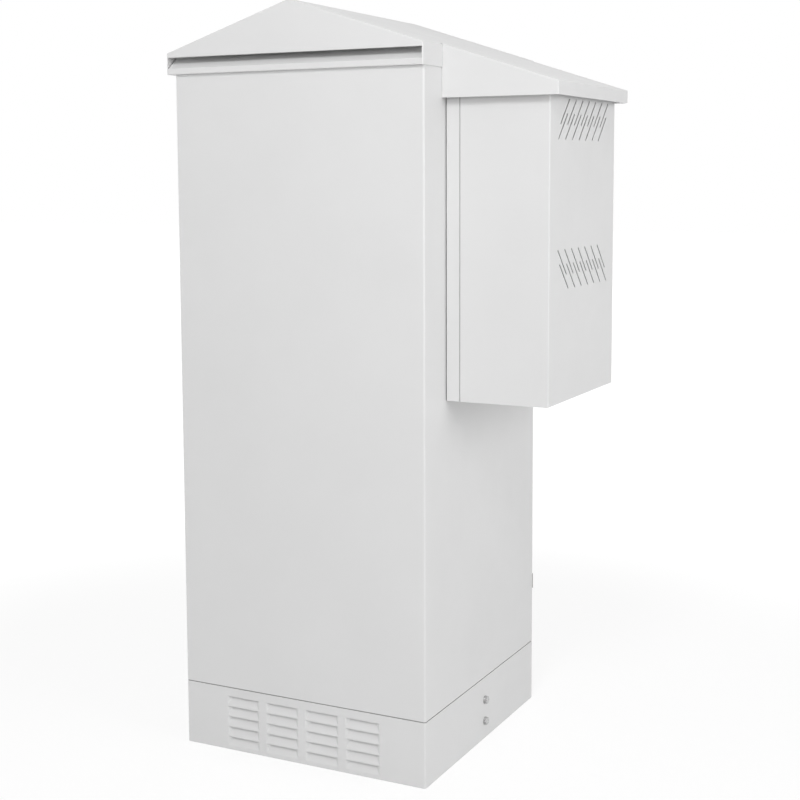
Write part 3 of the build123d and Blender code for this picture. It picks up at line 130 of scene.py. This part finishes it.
# Fasteners given chamfered heads and threads: axis and thread pitch in metres, then steps round a
# head and a thread, and a hexagon's angle between corners and half of it
FASTENERS = {
    "body_bolts": ("Z", 0.00175),
    "roof_bolts": ("Z", 0.00125),
    "plinth_clamp_bolts": ("X", 0.0015),
    "side_cap_screws": ("X", 0.0008),
    "unit_bolts": ("X", 0.0010),
    "unit_cover_screws": ("Z", 0.0008),
}
HEAD_STEPS = 48
THREAD_STEPS = 24
HEX_TURN = math.pi / 3
HEX_HALF = math.pi / 6

# Bolt head as shares of its flats and height: chamfer's disc, washer face's radius and start
CHAMFER_DISC = 0.93
WASHER_RADIUS = 0.97
WASHER_START = 0.94

# Bolt shank: least ratio of head to shank, where the core starts in the head's height, thread's
# depth and tip as shares of the pitch, and how far the thread's root sinks into the core
HEAD_RATIO = 1.15
CORE_START = 0.9
THREAD_DEPTH = 0.6
TIP_SHARE = 0.5
ROOT_SINK = 0.00002

# Plinth louvres, in metres: depth of the wall's face and of the folds, half the width that they
# take up, top of the first row, pitch and number of rows, and round of the folds
FACE_Y = 0.324
FOLD_Y = 0.317
LOUVRE_SPAN = 0.25
LOUVRE_TOP = 0.1315
LOUVRE_PITCH = 0.025
LOUVRE_ROWS = 5
FOLD_ROUND = 0.0020
FOLD_SEGMENTS = 3

# Rain deflector behind the slot in the roof's gable, in metres: its sheet, lean of the sheet's
# thickness, gaps to the tray's wall and ends, drops from the band's top at the front, slope's end
# before the back, drops from the tray's top at the back, and its edges' round
DEFLECTOR_SHEET = 0.0010
DEFLECTOR_LEAN = 0.3
DEFLECTOR_GAP = 0.0017
DEFLECTOR_END_GAP = 0.0005
BAND_HEIGHT = 0.014
FRONT_DROPS = (0.004, 0.001)
SLOPE_END = 0.002
BACK_DROPS = (0.006, 0.001)
DEFLECTOR_ROUND = 0.0002


def node(tree, kind, **settings):
    """Add a shader node; settings are its attributes."""
    made = tree.nodes.new("ShaderNode" + kind)
    for key, value in settings.items():
        setattr(made, key, value)
    return made


def new_material(name):
    """Material with an empty tree and a Principled shader, as (material, tree, shader)."""
    material = bpy.data.materials.new(name)
    material.use_nodes = True
    tree = material.node_tree
    tree.nodes.clear()
    shader = node(tree, "BsdfPrincipled")
    output = node(tree, "OutputMaterial")
    tree.links.new(shader.outputs["BSDF"], output.inputs["Surface"])
    return material, tree, shader


def noise(tree, scale, detail=4.0, stretch=(1, 1, 1)):
    """Noise in the object's frame, whose scale is in features per metre."""
    coordinates = node(tree, "TexCoord")
    mapping = node(tree, "Mapping")
    mapping.inputs["Scale"].default_value = stretch
    texture = node(tree, "TexNoise")
    texture.inputs["Scale"].default_value = scale
    texture.inputs["Detail"].default_value = detail
    tree.links.new(coordinates.outputs["Object"], mapping.inputs["Vector"])
    tree.links.new(mapping.outputs["Vector"], texture.inputs["Vector"])
    return texture.outputs["Fac"]


def spangle(tree, scale):
    """Random level for each crystal of a zinc coating."""
    coordinates = node(tree, "TexCoord")
    texture = node(tree, "TexVoronoi")
    texture.inputs["Scale"].default_value = scale
    split = node(tree, "SeparateColor")
    tree.links.new(coordinates.outputs["Object"], texture.inputs["Vector"])
    tree.links.new(texture.outputs["Color"], split.inputs["Color"])
    return split.outputs["Red"]


def ramp(tree, factor, low, high):
    """Values or colours between low and high as the factor goes through the ramp's range."""
    made = node(tree, "ValToRGB")
    for element, place, value in zip(made.color_ramp.elements, (RAMP_START, RAMP_END), (low, high)):
        element.position = place
        element.color = (*value, 1) if isinstance(value, tuple) else (value, value, value, 1)
    tree.links.new(factor, made.inputs["Fac"])
    return made.outputs["Color"]


def bump(tree, shader, layers):
    """Chain of bumps; each layer is a height, a strength and a distance in metres."""
    normal = None
    for height, strength, distance in layers:
        made = node(tree, "Bump")
        made.inputs["Strength"].default_value = strength
        made.inputs["Distance"].default_value = distance
        tree.links.new(height, made.inputs["Height"])
        if normal:
            tree.links.new(normal, made.inputs["Normal"])
        normal = made.outputs["Normal"]
    tree.links.new(normal, shader.inputs["Normal"])


def scaled(colour, factor):
    """Colour made lighter or darker by a factor."""
    return tuple(channel * factor for channel in colour)


def tinted(tree, texture, colour, spread):
    """Colour that varies about its mean by a share of it."""
    return ramp(tree, texture, scaled(colour, 1 - spread), scaled(colour, 1 + spread))


def roughen(tree, shader, texture, roughness, spread):
    """Let a shader's roughness vary about its mean."""
    level = ramp(tree, texture, roughness - spread, roughness + spread)
    tree.links.new(level, shader.inputs["Roughness"])


def painted_gap_shade(tree, colour):
    """Darken a colour in narrow gaps as painted shade, found by an ambient occlusion node."""
    gaps = node(tree, "AmbientOcclusion", samples=PAINTED_SHADE_SAMPLES)
    gaps.inputs["Distance"].default_value = PAINTED_SHADE_REACH
    level = node(tree, "MapRange")
    for name, value in zip(("From Min", "From Max", "To Min", "To Max"), PAINTED_SHADE_LEVELS):
        level.inputs[name].default_value = value
    mix = node(tree, "Mix", data_type="RGBA", blend_type="MULTIPLY")
    mix.inputs["Factor"].default_value = 1.0
    tree.links.new(gaps.outputs["AO"], level.inputs["Value"])
    tree.links.new(colour, mix.inputs["A"])
    tree.links.new(level.outputs["Result"], mix.inputs["B"])
    return mix.outputs["Result"]


def coated(name, colour, roughness, spread, grain, depth, wave=0.0):
    """Paint, rubber or plastic; a wave is for the powder coat, which also gets painted shade in its
    gaps.
    """
    material, tree, shader = new_material(name)
    tint = tinted(tree, noise(tree, CLOUD_SCALE, detail=3.0), colour, spread)
    roughen(tree, shader, noise(tree, SHEEN_SCALE, detail=2.0), roughness, COAT_SPREAD)
    layers = [(noise(tree, grain, detail=2.0), GRAIN_STRENGTH, depth)]
    if wave:
        # Painted shade: the powder coat's colour is darkened where narrow gaps occlude it
        tint = painted_gap_shade(tree, tint)
        layers.append((noise(tree, WAVE_SCALE, detail=1.0), WAVE_STRENGTH, wave))
    tree.links.new(tint, shader.inputs["Base Color"])
    bump(tree, shader, layers)
    return material


def metal(name, colour, roughness, spread, scale, stretch):
    """Bare or plated metal: brushed or spangled in colour and roughness."""
    material, tree, shader = new_material(name)
    shader.inputs["Metallic"].default_value = METAL_SHARE
    if name in SPANGLED:
        pattern = spangle(tree, scale)
    else:
        pattern = noise(tree, scale, detail=6.0, stretch=stretch)
    tree.links.new(tinted(tree, pattern, colour, spread), shader.inputs["Base Color"])
    roughen(tree, shader, pattern, roughness, METAL_SPREAD)
    scratches = noise(tree, scale * 2, stretch=stretch)
    bump(tree, shader, [(scratches, METAL_STRENGTH, METAL_DEPTH)])
    return material


def make_materials():
    """One material for each of the record's material slots, and the seal's own shade."""
    materials = {name: coated(name, *values) for name, values in COATS.items()}
    for name, values in METALS.items():
        materials[name] = metal(name, *values)
    return materials


def make_clean_group():
    """Geometry nodes that weld a mesh, drop its stored normals and shade it smooth."""
    group = bpy.data.node_groups.new("weld_and_smooth", "GeometryNodeTree")
    for way in ("INPUT", "OUTPUT"):
        group.interface.new_socket("Geometry", in_out=way, socket_type="NodeSocketGeometry")
    start = group.nodes.new("NodeGroupInput")
    drop = group.nodes.new("GeometryNodeRemoveAttribute")
    drop.inputs["Name"].default_value = "custom_normal"
    weld = group.nodes.new("GeometryNodeMergeByDistance")
    weld.inputs["Distance"].default_value = WELD
    smooth = group.nodes.new("GeometryNodeSetShadeSmooth")
    end = group.nodes.new("NodeGroupOutput")
    chain = (start, drop, weld, smooth, end)
    for before, after in zip(chain, chain[1:]):
        group.links.new(before.outputs[0], after.inputs[0])
    return group


def soften(thing, width, segments, clean=None):
    """Round a piece's sharp edges with a narrow bevel; clean is run on a CAD node first."""
    if clean:
        thing.modifiers.new("weld", "NODES").node_group = clean
        flat = thing.modifiers.new("flat", "DECIMATE")
        flat.decimate_type = "DISSOLVE"
        flat.angle_limit = math.radians(FLAT_ANGLE)
    edge = thing.modifiers.new("edge", "BEVEL")
    edge.limit_method = "ANGLE"
    edge.angle_limit = math.radians(SHARP_ANGLE)
    edge.width = width
    edge.segments = segments
    edge.harden_normals = True


def dress_nodes(frame, materials):
    """Give every CAD node its slot's material, and soften its sharp edges."""
    clean = make_clean_group()
    for part in frame["record"]["subparts"]:
        name = part["node"]
        thing = frame["nodes"][name]
        thing.data.materials.clear()
        thing.data.materials.append(materials[PAINTS.get(name, part["material_slot"])])
        soften(thing, *EDGES.get(name, EDGE), clean)


def mean_place(points):
    """Mean of some points, rounded so that their order hardly matters."""
    return tuple(round(c, 4) for c in sum(points, Vector()) / len(points))


def loose_parts(mesh):
    """Vertex places of each separate solid in a mesh; the solids are sorted, their places aren't."""
    work = bmesh.new()
    work.from_mesh(mesh)
    bmesh.ops.remove_doubles(work, verts=work.verts, dist=WELD)
    left = set(work.verts)
    parts = []
    while left:
        reached = [left.pop()]
        found = list(reached)
        while reached:
            vert = reached.pop()
            for edge in vert.link_edges:
                other = edge.other_vert(vert)
                if other in left:
                    left.remove(other)
                    reached.append(other)
                    found.append(other)
        parts.append([vert.co.copy() for vert in found])
    work.free()
    return sorted(parts, key=mean_place)


def add_rings(work, rings, place):
    """Skin a stack of rings of (radius, depth) pairs, closed at both ends."""
    rows = []
    for ring in rings:
        row = []
        for i, (radius, depth) in enumerate(ring):
            row.append(work.verts.new(place(radius, 2 * math.pi * i / len(ring), depth)))
        rows.append(row)
    for upper, lower in zip(rows, rows[1:]):
        for i in range(len(upper)):
            j = (i + 1) % len(upper)
            work.faces.new((upper[i], upper[j], lower[j], lower[i]))
    work.faces.new(list(reversed(rows[0])))
    work.faces.new(rows[-1])


def add_thread(work, crest, root, start, end, pitch, place):
    """Helical thread between two depths, whose crest fades into the core at its end."""
    steps = int((end - start) / pitch * THREAD_STEPS)
    crests, roots = [], []
    for m in range(steps + 1):
        angle = 2 * math.pi * m / THREAD_STEPS
        depth = start + pitch * m / THREAD_STEPS
        fade = min(1.0, (steps - m) / THREAD_STEPS)
        crests.append(work.verts.new(place(root + (crest - root) * fade, angle, depth)))
        roots.append(work.verts.new(place(root - ROOT_SINK, angle, depth + pitch / 2)))
    for m in range(steps):
        work.faces.new((crests[m], crests[m + 1], roots[m + 1], roots[m]))
        if m + THREAD_STEPS < steps:
            after = m + THREAD_STEPS
            work.faces.new((roots[m], roots[m + 1], crests[after + 1], crests[after]))


def hexagon_radii(flat):
    """Radius of a hexagon at each step round it, from its centre-to-flat distance."""
    radii = []
    for step in range(HEAD_STEPS):
        angle = 2 * math.pi * step / HEAD_STEPS
        radii.append(flat / math.cos(angle % HEX_TURN - HEX_HALF))
    return radii


def add_bolt(work, points, axis, pitch):
    """Hexagon bolt with a chamfered head, a washer face and a thread, over a plain CAD bolt."""
    k = "XYZ".index(axis)
    i, j = (k + 1) % 3, (k + 2) % 3
    middle = [(min(p[n] for p in points) + max(p[n] for p in points)) / 2 for n in (i, j)]
    low, high = min(p[k] for p in points), max(p[k] for p in points)
    sized = [(math.hypot(p[i] - middle[0], p[j] - middle[1]), p) for p in points]
    reach, far = max(sized, key=lambda pair: pair[0])
    ends = []
    for end in (low, high):
        ends.append(max(radius for radius, p in sized if abs(p[k] - end) < TOLERANCE / 2))
    shank = min(ends)
    head_end = high if abs(far[k] - high) < abs(far[k] - low) else low
    way = -1 if head_end == high else 1
    head = max(abs(p[k] - head_end) for radius, p in sized if radius > shank * HEAD_RATIO)
    total = high - low
    # Each corner gives the same head, but the thread starts at whichever one came out as far
    turn = math.atan2(far[j] - middle[1], far[i] - middle[0])
    flat = reach * math.cos(HEX_HALF)
    disc = flat * CHAMFER_DISC
    root = shank - THREAD_DEPTH * pitch
    tip = TIP_SHARE * pitch
    slope = math.tan(HEX_HALF)
    washer = flat * WASHER_RADIUS
    washer_start = head * WASHER_START

    def place(radius, angle, depth):
        spot = [0.0, 0.0, 0.0]
        spot[k] = head_end + way * depth
        spot[i] = middle[0] + radius * math.cos(angle + turn)
        spot[j] = middle[1] + radius * math.sin(angle + turn)
        return spot

    hexagon = hexagon_radii(flat)
    add_rings(work, [
        [(disc, 0.0)] * HEAD_STEPS,
        [(r, (r - disc) * slope) for r in hexagon],
        [(r, washer_start) for r in hexagon],
        [(washer, washer_start)] * HEAD_STEPS,
        [(washer, head)] * HEAD_STEPS,
    ], place)
    add_rings(work, [
        [(root, head * CORE_START)] * THREAD_STEPS,
        [(root, total - tip)] * THREAD_STEPS,
        [(root - tip, total)] * THREAD_STEPS,
    ], place)
    add_thread(work, shank, root, head - pitch, total - pitch, pitch, place)


def add_piece(name, work, material):
    """Object made of a finished bmesh, which rides on the cabinet."""
    bmesh.ops.recalc_face_normals(work, faces=work.faces)
    mesh = bpy.data.meshes.new(name)
    work.to_mesh(mesh)
    work.free()
    if "custom_normal" in mesh.attributes:
        mesh.attributes.remove(mesh.attributes["custom_normal"])
    mesh.materials.clear()
    mesh.materials.append(material)
    piece = bpy.data.objects.new(name, mesh)
    bpy.context.scene.collection.objects.link(piece)
    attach(piece, "cabinet")
    return piece


def is_louvre_fold(edge):
    """True for a louvre's folds on the plinth's outside, but not for the edges of its slit."""
    tops = [LOUVRE_TOP - LOUVRE_PITCH * row for row in range(LOUVRE_ROWS)]
    bottom = LOUVRE_TOP - LOUVRE_PITCH * LOUVRE_ROWS
    on_slit = []
    for vert in edge.verts:
        depth = abs(vert.co.y)
        if min(abs(depth - FACE_Y), abs(depth - FOLD_Y)) > TOLERANCE:
            return False
        if not bottom < vert.co.z < LOUVRE_TOP + TOLERANCE:
            return False
        if abs(vert.co.x) > LOUVRE_SPAN:
            return False
        on_slit.append(any(abs(vert.co.z - top) < TOLERANCE for top in tops))
    return not all(on_slit)


def make_plinth_pressing(frame, materials):
    """Plinth whose louvres have the soft folds of pressed sheet, in place of the CAD node."""
    work = bmesh.new()
    work.from_mesh(frame["nodes"]["plinth"].data)
    bmesh.ops.remove_doubles(work, verts=work.verts, dist=WELD)
    flat = math.radians(FLAT_ANGLE)
    bmesh.ops.dissolve_limit(work, angle_limit=flat, verts=work.verts, edges=work.edges)
    weight = work.edges.layers.float.new("bevel_weight_edge")
    for edge in work.edges:
        if len(edge.link_faces) == 2 and edge.calc_face_angle(0) > math.radians(FOLD_ANGLE):
            edge[weight] = 1.0 if is_louvre_fold(edge) else EDGE[0] / FOLD_ROUND
    for face in work.faces:
        face.smooth = True
    piece = add_piece("plinth_pressing", work, materials["powder_coat"])
    soften(piece, FOLD_ROUND, FOLD_SEGMENTS)
    edge = piece.modifiers["edge"]
    edge.limit_method = "WEIGHT"
    edge.use_clamp_overlap = False
    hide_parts("plinth")


def make_deflector(materials):
    """Sloping rain deflector in the roof's vent tray, seen through the gable's slot."""
    low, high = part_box("roof_vent_tray")
    front = low[1] + DEFLECTOR_GAP
    back = high[1] - DEFLECTOR_GAP
    band_top = low[2] + BAND_HEIGHT
    line = [(front, band_top - drop) for drop in FRONT_DROPS]
    line += [(back - SLOPE_END, high[2] - BACK_DROPS[0]), (back, high[2] - BACK_DROPS[1])]
    work = bmesh.new()
    rows = []
    for x in (low[0] + DEFLECTOR_END_GAP, high[0] - DEFLECTOR_END_GAP):
        for offset in (0.0, DEFLECTOR_SHEET):
            lean = offset * DEFLECTOR_LEAN
            rows.append([work.verts.new((x, y + lean, z - offset)) for y, z in line])
    top_a, under_a, top_b, under_b = rows
    for n in range(len(line) - 1):
        work.faces.new((top_a[n], top_a[n + 1], top_b[n + 1], top_b[n]))
        work.faces.new((under_a[n], under_a[n + 1], under_b[n + 1], under_b[n]))
        work.faces.new((top_a[n], top_a[n + 1], under_a[n + 1], under_a[n]))
        work.faces.new((top_b[n], top_b[n + 1], under_b[n + 1], under_b[n]))
    work.faces.new((top_a[0], under_a[0], under_b[0], top_b[0]))
    work.faces.new((top_a[-1], under_a[-1], under_b[-1], top_b[-1]))
    piece = add_piece("roof_vent_deflector", work, materials["powder_coat"])
    soften(piece, DEFLECTOR_ROUND, 1)


def make_fasteners(frame, materials):
    """Stand detailed bolts in for the plain ones of the CAD nodes."""
    slots = {part["node"]: part["material_slot"] for part in frame["record"]["subparts"]}
    for name, (axis, pitch) in FASTENERS.items():
        work = bmesh.new()
        for points in loose_parts(frame["nodes"][name].data):
            add_bolt(work, points, axis, pitch)
        piece = add_piece(name + "_threaded", work, materials[slots[name]])
        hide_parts(name)


def lamp(name, place, aim, size, power):
    """Round area lamp at a place, turned towards its aim."""
    data = bpy.data.lights.new(name, "AREA")
    data.shape = "DISK"
    data.size = size
    data.energy = power
    made = bpy.data.objects.new(name, data)
    made.location = place
    made.rotation_euler = (Vector(aim) - Vector(place)).to_track_quat("-Z", "Y").to_euler()
    bpy.context.scene.collection.objects.link(made)


def unlit_rays(tree):
    """1 for rays that see the background as it is: camera, glossy and transmission rays."""
    path = node(tree, "LightPath")
    total = path.outputs["Is Camera Ray"]
    for name in ("Is Glossy Ray", "Is Transmission Ray"):
        join = node(tree, "Math", operation="ADD", use_clamp=True)
        tree.links.new(total, join.inputs[0])
        tree.links.new(path.outputs[name], join.inputs[1])
        total = join.outputs[0]
    return total


def make_world():
    """Even soft light, seen as plain white by the camera and in reflections."""
    world = bpy.data.worlds.new("studio")
    bpy.context.scene.world = world
    world.use_nodes = True
    tree = world.node_tree
    tree.nodes.clear()
    direction = node(tree, "TexCoord")
    split = node(tree, "SeparateXYZ")
    height = node(tree, "MapRange")
    height.inputs["To Min"].default_value = WORLD_HORIZON
    height.inputs["To Max"].default_value = WORLD_ZENITH
    level = node(tree, "MapRange")
    level.inputs["To Max"].default_value = 1.0
    background = node(tree, "Background")
    background.inputs["Color"].default_value = (1, 1, 1, 1)
    output = node(tree, "OutputWorld")
    tree.links.new(direction.outputs["Generated"], split.inputs[0])
    tree.links.new(split.outputs["Z"], height.inputs["Value"])
    tree.links.new(unlit_rays(tree), level.inputs["Value"])
    tree.links.new(height.outputs["Result"], level.inputs["To Min"])
    tree.links.new(level.outputs["Result"], background.inputs["Strength"])
    tree.links.new(background.outputs[0], output.inputs["Surface"])


def make_floor_material():
    """Pale matt floor, which rays that see the background find whiter the further out it is."""
    material = bpy.data.materials.new("floor")
    material.use_nodes = True
    tree = material.node_tree
    tree.nodes.clear()
    place = node(tree, "TexCoord")
    distance = node(tree, "VectorMath", operation="LENGTH")
    fade = node(tree, "MapRange", interpolation_type="SMOOTHSTEP")
    fade.inputs["From Min"].default_value = FADE_START
    fade.inputs["From Max"].default_value = FADE_END
    fade.inputs["To Min"].default_value = 1 - FLOOR_SHADOW
    share = node(tree, "Math", operation="MULTIPLY")
    diffuse = node(tree, "BsdfDiffuse")
    diffuse.inputs["Color"].default_value = (FLOOR_COLOUR, FLOOR_COLOUR, FLOOR_COLOUR, 1)
    white = node(tree, "Emission")
    white.inputs["Strength"].default_value = FLOOR_WHITE
    mix = node(tree, "MixShader")
    output = node(tree, "OutputMaterial")
    tree.links.new(place.outputs["Object"], distance.inputs[0])
    tree.links.new(distance.outputs["Value"], fade.inputs["Value"])
    tree.links.new(fade.outputs["Result"], share.inputs[0])
    tree.links.new(unlit_rays(tree), share.inputs[1])
    tree.links.new(share.outputs[0], mix.inputs["Fac"])
    tree.links.new(diffuse.outputs[0], mix.inputs[1])
    tree.links.new(white.outputs[0], mix.inputs[2])
    tree.links.new(mix.outputs[0], output.inputs["Surface"])
    return material


def make_floor():
    """Large pale floor that keeps a soft shadow and fades into the white background."""
    reach = FLOOR_REACH
    mesh = bpy.data.meshes.new("floor")
    corners = [(-reach, -reach, 0), (reach, -reach, 0), (reach, reach, 0), (-reach, reach, 0)]
    mesh.from_pydata(corners, [], [(0, 1, 2, 3)])
    mesh.materials.append(make_floor_material())
    floor = bpy.data.objects.new("floor", mesh)
    bpy.context.scene.collection.objects.link(floor)


def make_camera():
    """Camera at the photograph's angle."""
    yaw, pitch, roll = map(math.radians, (CAMERA_YAW, CAMERA_PITCH, CAMERA_ROLL))
    level = math.cos(pitch)
    forward = Vector((-math.sin(yaw) * level, math.cos(yaw) * level, math.sin(pitch)))
    level_right = Vector((math.cos(yaw), math.sin(yaw), 0))
    level_up = level_right.cross(forward)
    right = level_right * math.cos(roll) + level_up * math.sin(roll)
    up = level_up * math.cos(roll) - level_right * math.sin(roll)
    data = bpy.data.cameras.new("camera")
    data.sensor_width = SENSOR
    data.lens = FOCAL_PIXELS * SENSOR / IMAGE
    data.shift_x = (IMAGE / 2 - CENTRE_X) / IMAGE
    data.shift_y = (CENTRE_Y - IMAGE / 2) / IMAGE
    camera = bpy.data.objects.new("camera", data)
    turn = Matrix((right, up, -forward)).transposed().to_4x4()
    camera.matrix_world = Matrix.Translation(CAMERA_PLACE) @ turn
    bpy.context.scene.collection.objects.link(camera)
    bpy.context.scene.camera = camera


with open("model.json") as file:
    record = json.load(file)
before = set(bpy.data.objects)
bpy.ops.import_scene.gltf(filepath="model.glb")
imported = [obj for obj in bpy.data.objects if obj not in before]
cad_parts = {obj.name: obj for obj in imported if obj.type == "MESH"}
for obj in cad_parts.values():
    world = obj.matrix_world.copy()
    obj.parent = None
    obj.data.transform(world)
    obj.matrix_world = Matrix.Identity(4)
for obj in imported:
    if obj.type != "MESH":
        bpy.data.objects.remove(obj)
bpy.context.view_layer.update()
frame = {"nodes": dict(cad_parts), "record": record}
bpy.context.scene.view_settings.view_transform = "Standard"
make_camera()
make_world()
make_floor()
for lamp_settings in LAMPS:
    lamp(*lamp_settings)
materials = make_materials()
dress_nodes(frame, materials)
make_plinth_pressing(frame, materials)
make_deflector(materials)
make_fasteners(frame, materials)
